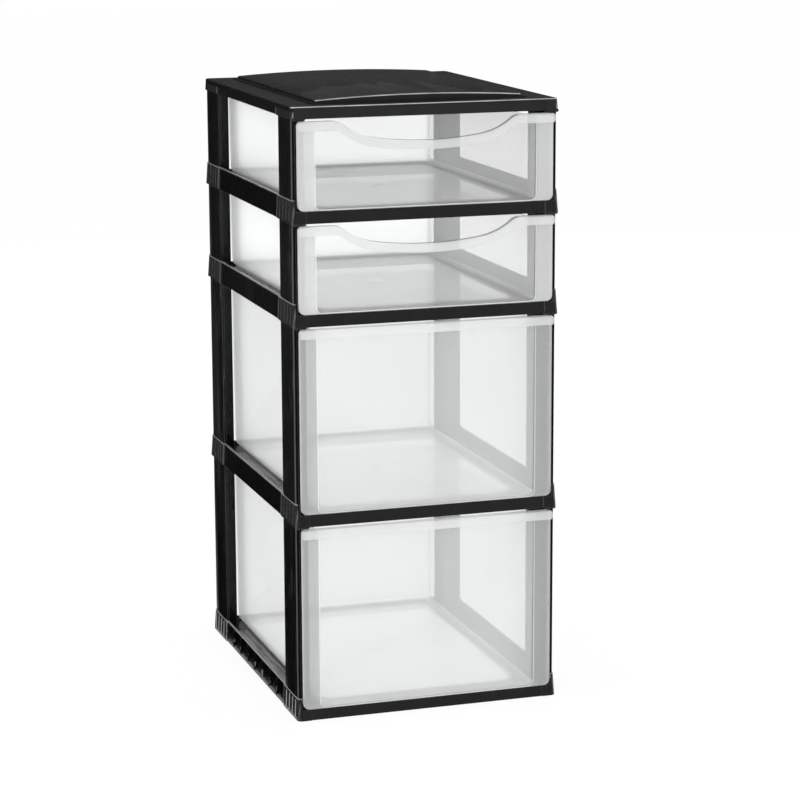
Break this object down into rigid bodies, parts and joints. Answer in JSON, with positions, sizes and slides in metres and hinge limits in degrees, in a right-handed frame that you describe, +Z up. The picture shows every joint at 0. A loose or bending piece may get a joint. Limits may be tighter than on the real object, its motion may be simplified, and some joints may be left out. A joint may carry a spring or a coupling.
{
  "type": "drawer storage tower",
  "caption": "Free-standing tower of translucent drawers, low over tall, sliding in black moulded ring frames on corner posts under a domed top.",
  "frame": {"origin": "on the floor, under the middle of the whole tower with its drawers shut", "axes": "+Z up, -Y to the front where the drawers come out, +X to the right seen from the front"},
  "size_m": [0.29, 0.371, 0.6539],
  "materials": {
    "frame": "semi-gloss black moulding",
    "drawer": "frosted translucent moulding"
  },
  "bodies": {
    "frame": {"base_frame": "frame", "lower_tier_frame": "frame", "middle_tier_frame": "frame", "upper_tier_frame": "frame", "top_panel": "frame", "post_bottom_bay_front_right": "frame", "post_bottom_bay_front_left": "frame", "post_bottom_bay_rear_right": "frame", "post_bottom_bay_rear_left": "frame", "post_lower_bay_front_right": "frame", "post_lower_bay_front_left": "frame", "post_lower_bay_rear_right": "frame", "post_lower_bay_rear_left": "frame", "post_upper_bay_front_right": "frame", "post_upper_bay_front_left": "frame", "post_upper_bay_rear_right": "frame", "post_upper_bay_rear_left": "frame", "post_top_bay_front_right": "frame", "post_top_bay_front_left": "frame", "post_top_bay_rear_right": "frame", "post_top_bay_rear_left": "frame"},
    "drawer_bottom_bay_body": {"drawer_bottom_bay": "drawer"},
    "drawer_lower_bay_body": {"drawer_lower_bay": "drawer"},
    "drawer_upper_bay_body": {"drawer_upper_bay": "drawer"},
    "drawer_top_bay_body": {"drawer_top_bay": "drawer"}
  },
  "joints": [
    {"name": "drawer_bottom_bay_slide", "type": "slide", "parent": "frame", "child": "drawer_bottom_bay_body", "axis": [0, -1, 0], "range_m": [0, 0.27]},
    {"name": "drawer_lower_bay_slide", "type": "slide", "parent": "frame", "child": "drawer_lower_bay_body", "axis": [0, -1, 0], "range_m": [0, 0.27]},
    {"name": "drawer_upper_bay_slide", "type": "slide", "parent": "frame", "child": "drawer_upper_bay_body", "axis": [0, -1, 0], "range_m": [0, 0.27]},
    {"name": "drawer_top_bay_slide", "type": "slide", "parent": "frame", "child": "drawer_top_bay_body", "axis": [0, -1, 0], "range_m": [0, 0.27]}
  ]
}
